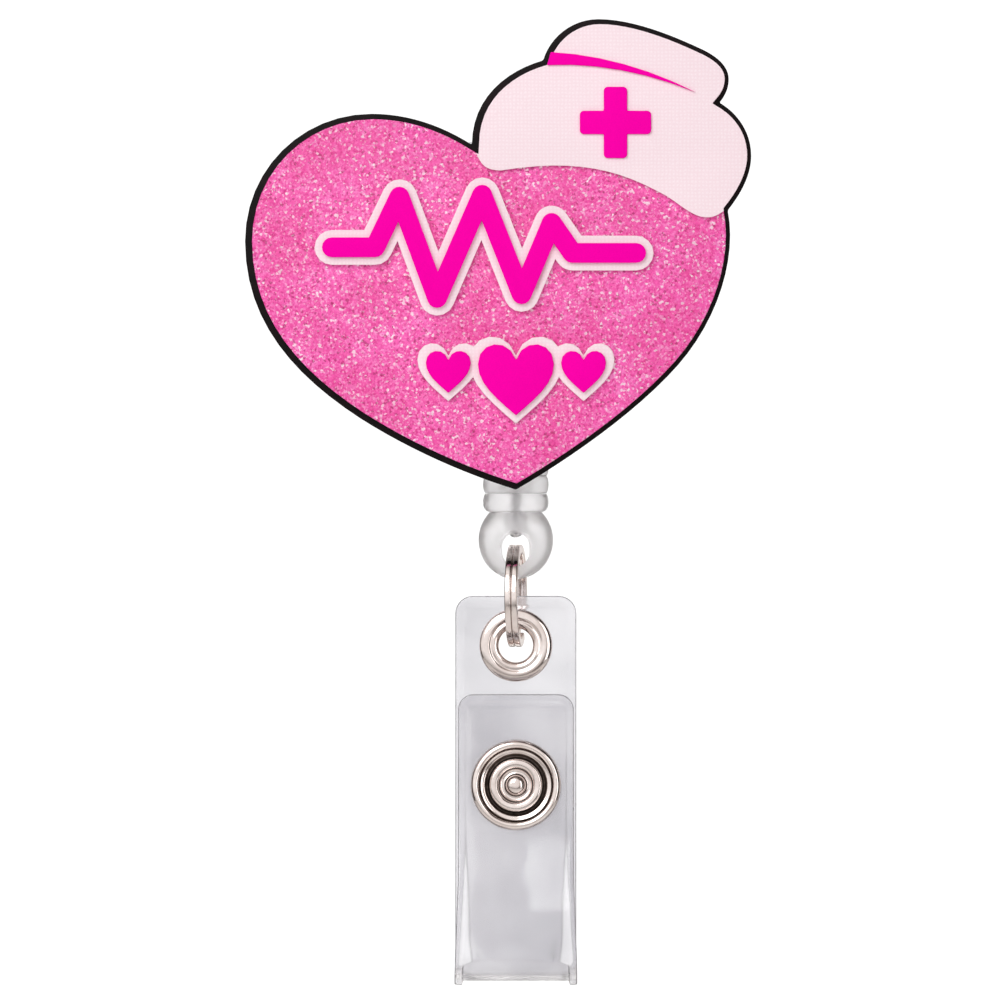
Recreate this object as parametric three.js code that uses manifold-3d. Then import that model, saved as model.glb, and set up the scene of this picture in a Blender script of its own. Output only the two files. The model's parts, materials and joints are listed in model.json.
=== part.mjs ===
// A retractable badge reel: a cord reel behind a heart-and-cap topper, with a swivel
// alligator clip at the back and a clear snap strap hanging from a split ring.
// Millimetres. +Z up, +X to the right, the front faces -Y.
// The origin is where the clip's jaws meet. The reel's axis runs along Y below it.
import * as THREE from 'three';
import { mergeVertices } from 'three/addons/utils/BufferGeometryUtils.js';
import Module from 'manifold-3d';

// ---- Driving dimensions -------------------------------------------------------------

// Clearances
const slideGap = 0.3;          // between pieces that turn or slide past each other
const restGap = 0.1;           // between the neck and the bead that rests against it
const fitGap = 0.15;           // between a pin or barrel and the hole that it sits in
const swivelGap = 0.1;         // play on each side of the swivel washer

// Swivel clip at the back
const clipWidth = 7.2;
const clipSheet = 0.8;         // sheet steel thickness
const gripHeight = 11;         // from the reel's axis up to the jaws' grip
const clipTail = 15;           // from the reel's axis down to the lever's end
const toothGap = 0.3;          // between the closed teeth
const jawDepth = 1.3;          // from the grip plane to the base jaw's inner face
const toothWidth = 1.0;
const toothCount = 3;
const pinRadius = 0.75;
const pinHeight = -3;          // pin's height from the reel's axis
const pinDepth = 2.0;          // pin's distance behind the grip plane
const leverRise = 6.4;         // how far the lever's end stands behind the grip plane
const springWire = 0.5;
const springTurns = 3;
const washerRadius = 4;
const washerThickness = 0.4;
const rivetRadius = 0.9;
const rivetHeadRadius = 1.8;
const rivetHeadThickness = 0.5;

// Reel housing
const reelRadius = 16;
const reelWall = 1.2;
const lipDepth = 0.8;
const lipWall = 1;
const postRadius = 2.9;
const postBore = 1.9;
const neckWidth = 4.6;
const neckEnd = 22.4;          // from the reel's axis down to the neck's end
const neckRibWidth = 7;
const neckRibThickness = 1.9;
const neckBore = 1.2;          // radius of the cord's way out

// Spool, cord and power spring
const cordRadius = 0.4;
const cordStrands = 3;         // strands side by side on the drum
const cordLayers = 3;          // layers of strands on the drum
const drumRadius = 9.4;
const drumWall = 0.8;
const flangeThickness = 0.8;
const springStrip = 0.2;
const springCoils = 8;

// Topper layers
const topperWidth = 54;
const padRadius = 13.5;
const padThickness = 1;
const backerThickness = 2;
const glitterThickness = 0.8;
const capThickness = 0.5;
const rimWidth = 0.62;         // black backer showing round the glitter
const rimShift = 0.15;         // glitter's shift to the right on the backer
const trimThickness = 0.3;     // band and cross on the cap
const motifOutlineThickness = 0.6;
const motifThickness = 0.5;
const motifStroke = 2.1;       // width of the pulse line
const motifBorder = 0.8;       // pale border round each motif

// End bead and split ring
const beadWidth = 8;
const beadHeight = 7.1;
const beadDepth = 5.6;
const ballHalf = beadHeight * 0.59;  // half height of the bead's ball, whose top the collar cuts off
const collarWidth = 7;
const collarHeight = 2.0;
const beadHoleWidth = 2.9;
const beadWeb = 1.4;           // left under the bead's hole
const beadCrown = 2.2;         // left over the bead's hole
const knotRadius = 1;
const knotSink = 0.55;         // knot's middle above the top of the bead's hole
const ringRadius = 5.05;       // to the middle of the ring's wire
const ringSide = 1.3;          // wire pack along the ring's axis
const ringRadial = 0.9;        // wire pack across it
const ringYaw = THREE.MathUtils.degToRad(-6);

// Snap strap
const strapWidth = 13;
const flapWidth = 12.4;
const strapThickness = 0.5;
const strapLength = 41.2;      // top edge of the back leg to the fold
const flapLength = 30.7;       // fold to the flap's top edge
const strapCorner = 2;
const foldDepth = 5.7;         // across the fold, outside to outside
const foldSplit = 0.3;
const snapHeight = 21;       // fold to the snap's middle
const snapSpace = 2.6;         // between the legs at the snap
const snapLand = 5.4;          // flat length of the flap above and below the snap's middle
const eyeletDrop = 5.3;        // strap's top edge to the eyelet's middle
const eyeletRadius = 3.9;
const eyeletHole = 1.85;
const eyeletWall = 0.35;
const eyeletFlange = 0.5;
const snapRadius = 4.85;
const snapRise = 1.1;          // how far the snap's face stands out from the flap
const snapPostRadius = 1;
const snapFlange = 0.45;
const studRadius = 1.75;
const socketRadius = 4.6;

// Facets
const curveDivisions = 6;      // along each curve of a small outline
const outlineDivisions = 12;   // along each curve of the topper's outline
const fineFacets = 40;
const smallFacets = 24;
const cordFacets = 16;

// ---- Levels along Y that follow from these ------------------------------------------

const baseJawInner = -jawDepth;
const baseJawOuter = baseJawInner - clipSheet;
const washerBack = baseJawOuter - swivelGap;
const washerFront = washerBack - washerThickness;
const housingBack = washerFront - swivelGap;
const housingFloor = housingBack - reelWall;
const webBack = housingFloor - slideGap;
const webFront = webBack - flangeThickness;
const windingBack = webFront - swivelGap;
const windingFront = windingBack - cordStrands * cordRadius * 2;
const flangeBack = windingFront - swivelGap;
const flangeFront = flangeBack - flangeThickness;
const coverBack = flangeFront - slideGap;
const coverFront = coverBack - reelWall;
const backerBack = coverFront - padThickness;
const backerFront = backerBack - backerThickness;
const glitterFront = backerFront - glitterThickness;
const capFront = glitterFront - capThickness;
const trimFront = capFront - trimThickness;
const motifOutlineFront = glitterFront - motifOutlineThickness;
const motifFront = motifOutlineFront - motifThickness;
const cordPlane = (windingBack + windingFront) / 2;

// ---- Heights along Z, from the reel's axis ------------------------------------------

const beadTop = -neckEnd - restGap;
const beadBottom = beadTop - collarHeight - beadHeight;
const beadHoleTop = beadBottom + beadHeight - beadCrown;
const beadHoleBottom = beadBottom + beadWeb;
const knotMiddle = beadHoleTop + knotSink;
const ringTop = (beadHoleTop + beadHoleBottom) / 2 + 0.1;
const ringMiddle = ringTop - ringRadius;
const eyeletMiddle = ringMiddle - ringRadius - 0.25;
const strapTop = eyeletMiddle + eyeletDrop;
const strapBottom = strapTop - strapLength;
const snapMiddle = strapBottom + snapHeight;
const strapFront = cordPlane - strapThickness / 2;
const strapBack = cordPlane + strapThickness / 2;
const flapBack = strapFront - snapSpace;
const flapFront = flapBack - strapThickness;

// ---- Materials ----------------------------------------------------------------------

const finish = (color, roughness, metalness = 0) => ({ color, roughness, metalness });
const magentaPrint = finish(0xff00aa, 0.45);
const palePrint = finish(0xfbe5ee, 0.6);
const blackAcrylic = finish(0x120a0d, 0.35);
const pinkGlitter = finish(0xec54a5, 0.4);
const whiteFoam = finish(0xf0f0ee, 0.9);
const clearPlastic = finish(0xe5e3e6, 0.3);
const greyPlastic = finish(0xc9cacc, 0.45);
const nylonCord = finish(0xdedede, 0.7);
const nickel = finish(0xb9b2a8, 0.25, 1);
const springSteel = finish(0x7c7f84, 0.35, 1);
const clearVinyl = finish(0xd4d4d6, 0.25);

// ---- Solids and geometry ------------------------------------------------------------

const wasm = await Module();
wasm.setup();

function toSolid(geometry) {
  const bare = geometry.clone();
  bare.deleteAttribute('normal');
  bare.deleteAttribute('uv');
  const merged = mergeVertices(bare, 1e-4);
  const corners = merged.index.array;
  const triangles = [];
  for (let i = 0; i < corners.length; i += 3) {
    const [a, b, c] = [corners[i], corners[i + 1], corners[i + 2]];
    if (a !== b && b !== c && c !== a) {
      triangles.push(a, b, c);
    }
  }
  const vertProperties = new Float32Array(merged.attributes.position.array);
  const triVerts = new Uint32Array(triangles);
  return new wasm.Manifold(new wasm.Mesh({ numProp: 3, vertProperties, triVerts }));
}

function toGeometry(solid) {
  const mesh = solid.getMesh();
  const geometry = new THREE.BufferGeometry();
  geometry.setAttribute('position', new THREE.BufferAttribute(mesh.vertProperties, 3));
  geometry.setIndex(new THREE.BufferAttribute(mesh.triVerts, 1));
  geometry.computeVertexNormals();
  return geometry;
}

const join = (...pieces) => toGeometry(pieces.map(toSolid).reduce((a, b) => a.add(b)));
const cut = (body, ...tools) =>
  toGeometry(tools.map(toSolid).reduce((a, b) => a.subtract(b), toSolid(body)));
const common = (...pieces) => toGeometry(pieces.map(toSolid).reduce((a, b) => a.intersect(b)));

// A flat piece drawn in X and Z, filling y = front ... back.
function plate(shape, front, back, curveSegments = 8) {
  const options = { depth: back - front, bevelEnabled: false, curveSegments };
  return new THREE.ExtrudeGeometry(shape, options).rotateX(Math.PI / 2).translate(0, back, 0);
}

// A profile drawn in Y and Z, filling x = left ... right.
function slab(shape, left, right) {
  const turn = new THREE.Matrix4().makeBasis(
    new THREE.Vector3(0, 1, 0),
    new THREE.Vector3(0, 0, 1),
    new THREE.Vector3(1, 0, 0),
  );
  const options = { depth: right - left, bevelEnabled: false };
  return new THREE.ExtrudeGeometry(shape, options).applyMatrix4(turn).translate(left, 0, 0);
}

// A turned piece on an axis along Y, from [radius, y] pairs that run from front to back.
function turned(profile, facets = smallFacets, x = 0, z = 0) {
  const points = profile.map(([radius, y]) => new THREE.Vector2(radius, y));
  return new THREE.LatheGeometry(points, facets).translate(x, 0, z);
}

const rod = (radius, front, back, facets = smallFacets, x = 0, z = 0) =>
  turned([[0, front], [radius, front], [radius, back], [0, back]], facets, x, z);

const tube = (inner, outer, front, back, facets = smallFacets, x = 0, z = 0) =>
  turned([[inner, front], [outer, front], [outer, back], [inner, back], [inner, front]], facets, x, z);

// A round bar along Z.
const upright = (radius, bottom, top, facets = smallFacets) =>
  new THREE.CylinderGeometry(radius, radius, top - bottom, facets)
    .rotateX(Math.PI / 2).translate(0, cordPlane, (bottom + top) / 2);

// A tube of round section along a smooth line through the points.
function along(points, radius, steps, facets = 8) {
  const section = new THREE.Shape();
  section.absarc(0, 0, radius, 0, Math.PI * 2);
  const extrudePath = new THREE.CatmullRomCurve3(points.map((point) => new THREE.Vector3(...point)));
  const sectionShape = new THREE.Shape(section.getSpacedPoints(facets).slice(0, -1));
  return new THREE.ExtrudeGeometry(sectionShape, { steps, extrudePath, bevelEnabled: false });
}

// The outline of a strip of even thickness on both sides of a centre line.
function strip(line, thickness) {
  const sides = [[], []];
  line.forEach(([x, y], i) => {
    const before = line[Math.max(i - 1, 0)];
    const after = line[Math.min(i + 1, line.length - 1)];
    const arrive = new THREE.Vector2(x - before[0], y - before[1]).normalize();
    const leave = new THREE.Vector2(after[0] - x, after[1] - y).normalize();
    const onward = arrive.clone().add(leave).normalize();
    const straight = i === 0 ? leave : arrive;
    const reach = thickness / 2 / onward.dot(straight);
    sides[0].push(new THREE.Vector2(x - onward.y * reach, y + onward.x * reach));
    sides[1].push(new THREE.Vector2(x + onward.y * reach, y - onward.x * reach));
  });
  return new THREE.Shape([...sides[0], ...sides[1].reverse()]);
}

const arcLine = (cx, cy, radius, from, to, count) =>
  Array.from({ length: count + 1 }, (_, i) => {
    const angle = from + ((to - from) * i) / count;
    return [cx + radius * Math.cos(angle), cy + radius * Math.sin(angle)];
  });

// A closed outline's corners, moved outward by a distance, or inward by a negative one.
function offset(corners, distance) {
  const outward = THREE.ShapeUtils.isClockWise(corners) ? -1 : 1;
  return corners.map((corner, i) => {
    const before = corners[(i + corners.length - 1) % corners.length];
    const after = corners[(i + 1) % corners.length];
    const arrive = corner.clone().sub(before).normalize();
    const leave = after.clone().sub(corner).normalize();
    const onward = arrive.clone().add(leave).normalize();
    const reach = (outward * distance) / Math.max(onward.dot(leave), 0.5);
    return new THREE.Vector2(corner.x + onward.y * reach, corner.y - onward.x * reach);
  });
}

function cornersOf(path, divisions = curveDivisions) {
  const corners = path.getPoints(divisions);
  if (corners[0].distanceTo(corners.at(-1)) < 1e-6) {
    corners.pop();
  }
  return corners;
}

function roundedBox(width, bottom, top, corner, middle = 0) {
  const [left, right] = [middle - width / 2, middle + width / 2];
  const shape = new THREE.Shape();
  shape.moveTo(left + corner, bottom);
  shape.lineTo(right - corner, bottom);
  shape.absarc(right - corner, bottom + corner, corner, -Math.PI / 2, 0);
  shape.lineTo(right, top - corner);
  shape.absarc(right - corner, top - corner, corner, 0, Math.PI / 2);
  shape.lineTo(left + corner, top);
  shape.absarc(left + corner, top - corner, corner, Math.PI / 2, Math.PI);
  shape.lineTo(left, bottom + corner);
  shape.absarc(left + corner, bottom + corner, corner, Math.PI, Math.PI * 1.5);
  return shape;
}

// ---- The assembly -------------------------------------------------------------------

const badgeReel = new THREE.Group();
const reelFrame = new THREE.Group();
reelFrame.position.z = -gripHeight;
badgeReel.add(reelFrame);

function add(name, geometry, look, group = reelFrame) {
  const mesh = new THREE.Mesh(geometry, new THREE.MeshStandardMaterial(look));
  mesh.name = name;
  group.add(mesh);
  return mesh;
}

// ---- Topper: a heart with a folded cap on its right shoulder ------------------------

const drawnWidth = 54;         // width that the topper's outlines are drawn at
const topperScale = topperWidth / drawnWidth;

function drawn(start, ...curves) {
  const path = new THREE.Path();
  const sized = (values) => values.map((value) => value * topperScale);
  path.moveTo(...sized(start));
  for (const curve of curves) {
    const values = sized(curve);
    if (values.length === 6) {
      path.bezierCurveTo(...values);
    } else if (values.length === 4) {
      path.quadraticCurveTo(...values);
    } else {
      path.lineTo(...values);
    }
  }
  return path;
}

const topperPath = drawn(
  [0, -22],
  [5.4, -18.9, 12.8, -13.8, 17.3, -8.7],
  [21.6, -3.8, 23.6, 2.8, 22.6, 7.8],
  [23.8, 9.3, 25.1, 11.4, 25.1, 13.6],
  [25.1, 16.2, 23.6, 18.2, 21.7, 19.3],
  [22.4, 20.1, 22.7, 20.9, 22.7, 21.8],
  [22.7, 23.2, 21.4, 24.3, 19.6, 25.1],
  [16.6, 26.5, 12.4, 28.2, 8.8, 28.2],
  [5.9, 28.2, 3.6, 26.2, 2.9, 23.8],
  [-1, 22.7, -4.7, 19.8, -4.7, 14.8],
  [-8, 16.9, -11.6, 18.1, -15.4, 18.1],
  [-22.8, 18.1, -28.9, 12.2, -28.9, 4.5],
  [-28.9, -4.2, -23.5, -9.9, -16.6, -14.4],
  [-11.4, -17.7, -5.5, -20.3, 0, -22],
);
const topperCorners = cornersOf(topperPath, outlineDivisions);

const capRegion = cornersOf(drawn(
  [-4.9, 14.6],
  [-4.1, 14.2, -4.3, 13.7, -3.8, 13],
  [-3.4, 12.3, -2.7, 12, -1.6, 12],
  [6.5, 13.3, 11, 12.1, 16, 9.3],
  [17.5, 8.4, 18.8, 7, 20.4, 7],
  [21.5, 7, 22.1, 7.8, 23, 8.2],
  [27, 8.2],
  [27, 30],
  [-4.9, 30],
), outlineDivisions);

function makeTopper() {
  add('mounting_pad', rod(padRadius, backerBack, coverFront, fineFacets), whiteFoam);
  add('topper_backer', plate(new THREE.Shape(topperCorners), backerFront, backerBack), blackAcrylic);
  const shift = new THREE.Vector2(rimShift, 0);
  const inner = new THREE.Shape(offset(topperCorners, -rimWidth).map((corner) => corner.add(shift)));
  add('glitter_sheet', plate(inner, glitterFront, backerFront), pinkGlitter);
  const capBlank = plate(new THREE.Shape(capRegion), capFront - 1, glitterFront + 1);
  add('cap_panel', common(plate(inner, capFront, glitterFront), capBlank), palePrint);
}

function makeCapTrim() {
  const band = drawn([3.7, 24.6], [11.5, 24.2, 19.2, 20.3], [11, 23.6, 3.3, 23.2]);
  add('cap_band', plate(new THREE.Shape(cornersOf(band)), trimFront, capFront), magentaPrint);
  const [crossX, crossZ] = [10.6 * topperScale, 17.1 * topperScale];
  const [crossSpan, crossArm, crossCorner] = [7.6, 2.5, 0.45].map((size) => size * topperScale);
  const arm = (width, height) => {
    const [bottom, top] = [crossZ - height / 2, crossZ + height / 2];
    return plate(roundedBox(width, bottom, top, crossCorner, crossX), trimFront, capFront, 4);
  };
  add('cap_cross', join(arm(crossSpan, crossArm), arm(crossArm, crossSpan)), magentaPrint);
}

// A raised pulse line over three small hearts, each with a pale border under it.
function makeMotif() {
  const beat = [
    [-19.6, 3.8],
    [-15, 3.8],
    [-12.4, 9.2],
    [-8.4, -1.6],
    [-3.6, 9.4],
    [0.6, -1.2],
    [3.8, 6.4],
    [6, 3.2],
    [12.8, 3.2],
  ].map(([x, z]) => [x * topperScale, z * topperScale]);
  const pulse = (radius, front, back) => join(...beat.slice(1).map((point, i) => {
    const [from, to] = [beat[i], point];
    const angle = Math.atan2(to[1] - from[1], to[0] - from[0]);
    const bar = new THREE.Shape();
    bar.absarc(to[0], to[1], radius, angle - Math.PI / 2, angle + Math.PI / 2);
    bar.absarc(from[0], from[1], radius, angle + Math.PI / 2, angle + Math.PI * 1.5);
    return plate(new THREE.Shape(cornersOf(bar, 4)), front, back);
  }));
  const stroke = motifStroke / 2;
  add('motif_pulse_outline', pulse(stroke + motifBorder, motifOutlineFront, glitterFront), palePrint);
  add('motif_pulse', pulse(stroke, motifFront, motifOutlineFront), magentaPrint);

  const heart = (x, z, size) => cornersOf(drawn(
    [x, z - size * 0.5],
    [x + size * 0.25, z - size * 0.28, x + size * 0.52, z - size * 0.08, x + size * 0.52, z + size * 0.2],
    [x + size * 0.52, z + size * 0.52, x + size * 0.1, z + size * 0.58, x, z + size * 0.26],
    [x - size * 0.1, z + size * 0.58, x - size * 0.52, z + size * 0.52, x - size * 0.52, z + size * 0.2],
    [x - size * 0.52, z - size * 0.08, x - size * 0.25, z - size * 0.28, x, z - size * 0.5],
  ));
  const border = (2.2 * motifBorder) / topperScale;
  const places = { left: [-7.2, -9.4, 4.6], middle: [0, -10.2, 7.8], right: [7.2, -9.4, 4.6] };
  const bordered = Object.values(places).map(([x, z, size]) =>
    plate(new THREE.Shape(heart(x, z, size + border)), motifOutlineFront, glitterFront));
  add('motif_hearts_outline', join(...bordered), palePrint);
  for (const [side, place] of Object.entries(places)) {
    const shape = new THREE.Shape(heart(...place));
    add(`motif_heart_${side}`, plate(shape, motifFront, motifOutlineFront), magentaPrint);
  }
}

// ---- Reel: housing, cover, spool, power spring and cord -----------------------------

const housingBore = reelRadius - reelWall;
const lipRadius = housingBore - slideGap;
const flangeRadius = lipRadius - lipWall - slideGap;
const windingInner = drumRadius + swivelGap;
const windingOuter = windingInner + cordLayers * cordRadius * 2;
const rivetHole = rivetRadius + fitGap;

function makeHousing() {
  const shell = turned([
    [0, housingFloor],
    [housingBore, housingFloor],
    [housingBore, coverBack],
    [reelRadius, coverBack],
    [reelRadius, housingBack],
    [0, housingBack],
  ], fineFacets);
  const post = rod(postRadius, coverBack + slideGap, housingFloor + reelWall / 2);
  const neck = upright(neckWidth / 2, -neckEnd, -housingBore - reelWall / 2);
  const rib = upright(neckRibWidth / 2, -neckEnd, -neckEnd + neckRibThickness);
  const bore = upright(neckBore, -neckEnd - 1, -postRadius - 2, smallFacets);
  const springSlot = new THREE.BoxGeometry(postRadius, webFront - coverBack, springStrip + 2 * fitGap)
    .translate(postRadius * 0.9, (coverBack + webFront) / 2, 0);
  const body = cut(
    join(shell, post, neck, rib),
    bore,
    rod(postBore, coverBack - 1, housingFloor),
    rod(rivetHole, housingFloor - 1, housingBack + 1),
    springSlot,
  );
  add('rear_housing', body, greyPlastic);
  add('front_cover', turned([
    [0, coverFront],
    [reelRadius, coverFront],
    [reelRadius, coverBack],
    [lipRadius, coverBack],
    [lipRadius, coverBack + lipDepth],
    [lipRadius - lipWall, coverBack + lipDepth],
    [lipRadius - lipWall, coverBack],
    [0, coverBack],
  ], fineFacets), greyPlastic);
}

function makeSpool() {
  const spoolBore = postRadius + slideGap;
  const drumInner = drumRadius - drumWall;
  add('spool', turned([
    [spoolBore, webFront],
    [drumInner, webFront],
    [drumInner, flangeFront],
    [flangeRadius, flangeFront],
    [flangeRadius, flangeBack],
    [drumRadius, flangeBack],
    [drumRadius, webFront],
    [flangeRadius, webFront],
    [flangeRadius, webBack],
    [spoolBore, webBack],
    [spoolBore, webFront],
  ], fineFacets), clearPlastic);

  const firstRadius = spoolBore + springStrip;
  const lastRadius = drumInner - slideGap - springStrip;
  const count = springCoils * 16;
  const coil = Array.from({ length: count + 1 }, (_, i) => {
    const radius = firstRadius + ((lastRadius - firstRadius) * i) / count;
    const angle = (Math.PI * 2 * springCoils * i) / count;
    return [radius * Math.cos(angle), radius * Math.sin(angle)];
  });
  const hook = [[(postBore + postRadius) / 2, 0]];
  const spiral = plate(strip([...hook, ...coil], springStrip), flangeFront + fitGap, webFront - slideGap);
  add('power_spring', spiral, springSteel);
}

function makeCord() {
  add('cord_winding', tube(windingInner, windingOuter, windingFront, windingBack, fineFacets), nylonCord);

  // The cord leaves its outer layer on a straight tangent and bends down into the neck.
  const exitHeight = -housingBore + 0.8;
  const layerRadius = windingOuter - cordRadius;
  const clearRadius = windingOuter + cordRadius + slideGap;
  const tangent = Math.acos(layerRadius / -exitHeight);
  const touch = [-layerRadius * Math.sin(tangent), -layerRadius * Math.cos(tangent)];
  const run = Math.sqrt(exitHeight ** 2 - layerRadius ** 2);
  const onTangent = (distance) => [
    touch[0] - (touch[0] * distance) / run,
    cordPlane,
    touch[1] + ((exitHeight - touch[1]) * distance) / run,
  ];
  const start = Math.sqrt(clearRadius ** 2 - layerRadius ** 2);
  add('cord_lead', along([
    onTangent(start),
    onTangent((start + run) / 2),
    [-cordRadius / 2, cordPlane, exitHeight - 1],
    [0, cordPlane, exitHeight - 2.6],
    [0, cordPlane, (exitHeight - neckEnd) / 2 - 1],
    [0, cordPlane, -neckEnd],
  ], cordRadius, 20), nylonCord);
  add('cord_tail', along([
    [0, cordPlane, -neckEnd - fitGap],
    [0, cordPlane, (knotMiddle + knotRadius - neckEnd) / 2],
    [0, cordPlane, knotMiddle + knotRadius + slideGap / 2],
  ], cordRadius, 4), nylonCord);
  const knot = new THREE.SphereGeometry(knotRadius, 14, 10).translate(0, cordPlane, knotMiddle);
  add('cord_knot', knot, nylonCord);
}

// ---- End bead and split ring --------------------------------------------------------

function makeBead() {
  const beadRadius = beadWidth / 2;
  const waist = Math.asin(beadHeight / ballHalf - 1);
  const ball = arcLine(0, 0, 1, -Math.PI / 2, waist, 12).map(([across, up]) =>
    new THREE.Vector2(Math.max(beadRadius * across, 0), ballHalf * (up + 1)));
  const collarTop = beadHeight + collarHeight;
  const collarBottom = collarTop - collarHeight;
  const edge = 0.3;
  const profile = [
    ...ball,
    new THREE.Vector2(collarWidth / 2 - edge, collarBottom - edge / 2),
    new THREE.Vector2(collarWidth / 2, collarBottom + edge),
    new THREE.Vector2(collarWidth / 2, collarTop - edge),
    new THREE.Vector2(collarWidth / 2 - edge, collarTop),
    new THREE.Vector2(0, collarTop),
  ];
  const blank = new THREE.LatheGeometry(profile, smallFacets)
    .rotateX(Math.PI / 2)
    .scale(1, beadDepth / beadWidth, 1)
    .translate(0, cordPlane, beadBottom);
  const holeEnd = Math.min(beadHoleWidth, beadHoleTop - beadHoleBottom) * 0.49;
  const hole = roundedBox(beadHoleWidth, beadHoleBottom, beadHoleTop, holeEnd);
  const holeMiddle = (beadHoleTop + beadHoleBottom) / 2;
  const knotSeat = knotMiddle + knotRadius + fitGap;
  const cordBore = upright(cordRadius + fitGap, beadHoleTop, beadTop + 1, cordFacets);
  const knotBore = upright(knotRadius + fitGap, holeMiddle, knotSeat, cordFacets);
  const through = plate(hole, cordPlane - beadWidth, cordPlane + beadWidth, 6);
  add('end_bead', cut(blank, through, cordBore, knotBore), clearPlastic);
}

function makeRing() {
  const [half, radial, round] = [ringSide / 2, ringRadial / 2, 0.2];
  const profile = [
    [ringRadius - radial, half - round],
    [ringRadius - radial, -half + round],
    [ringRadius - radial + round, -half],
    [ringRadius + radial - round, -half],
    [ringRadius + radial, -half + round],
    [ringRadius + radial, half - round],
    [ringRadius + radial - round, half],
    [ringRadius - radial + round, half],
    [ringRadius - radial, half - round],
  ];
  const ring = add('split_ring', turned(profile, fineFacets).rotateZ(Math.PI / 2), nickel);
  ring.position.set(0, cordPlane, ringMiddle);
  ring.rotation.z = ringYaw;
}

// ---- Snap strap ---------------------------------------------------------------------

function makeStrap() {
  const middle = strapThickness / 2;
  const foldRadius = foldDepth / 2 - middle;
  const foldMiddle = cordPlane - foldRadius;
  const foldHeight = strapBottom + foldDepth / 2;
  const splitAngle = foldSplit / 2 / foldRadius;
  const flapPlane = flapBack - middle;
  const landBottom = snapMiddle - snapLand;
  const backLine = [
    [cordPlane, strapTop],
    ...arcLine(foldMiddle, foldHeight, foldRadius, 0, -Math.PI / 2 + splitAngle, 7),
  ];
  const flapLine = [
    ...arcLine(foldMiddle, foldHeight, foldRadius, -Math.PI / 2 - splitAngle, -Math.PI, 7),
    [foldMiddle - foldRadius, (foldHeight * 2 + landBottom) / 3],
    [flapPlane, landBottom],
    [flapPlane, strapBottom + flapLength],
  ];
  const below = strapBottom - 1;
  const hole = (radius, height) =>
    rod(radius + fitGap, flapFront - 1, strapBack + 1, smallFacets, 0, height);
  const leg = (line, width, top) => {
    const outline = roundedBox(width, below - strapCorner, top, strapCorner);
    return common(
      slab(strip(line, strapThickness), -width / 2, width / 2),
      plate(outline, cordPlane - 2 * foldDepth, cordPlane + foldDepth, 6),
    );
  };
  const snapHole = hole(snapPostRadius, snapMiddle);
  const eyeletBore = hole(eyeletHole + eyeletWall, eyeletMiddle);
  const backLeg = leg(backLine, strapWidth, strapTop);
  const flap = leg(flapLine, flapWidth, strapBottom + flapLength);
  add('strap_back_leg', cut(backLeg, snapHole, eyeletBore), clearVinyl);
  add('strap_flap', cut(flap, snapHole), clearVinyl);
}

function makeEyelet() {
  const barrel = eyeletHole + eyeletWall;
  const lip = 0.25;
  add('eyelet', turned([
    [eyeletHole, strapFront - eyeletFlange + lip],
    [eyeletHole + lip, strapFront - eyeletFlange],
    [eyeletRadius - lip, strapFront - eyeletFlange],
    [eyeletRadius, strapFront - lip],
    [eyeletRadius, strapFront],
    [barrel, strapFront],
    [barrel, strapBack + eyeletFlange],
    [barrel + 2 * lip, strapBack + eyeletFlange],
    [barrel + lip, strapBack + eyeletFlange + lip],
    [eyeletHole, strapBack + eyeletFlange + lip],
    [eyeletHole, strapFront - eyeletFlange + lip],
  ], smallFacets, 0, eyeletMiddle), nickel);
  add('eyelet_washer', tube(
    barrel + fitGap,
    eyeletRadius,
    strapBack,
    strapBack + eyeletFlange,
    smallFacets,
    0,
    eyeletMiddle,
  ), nickel);
}

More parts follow.
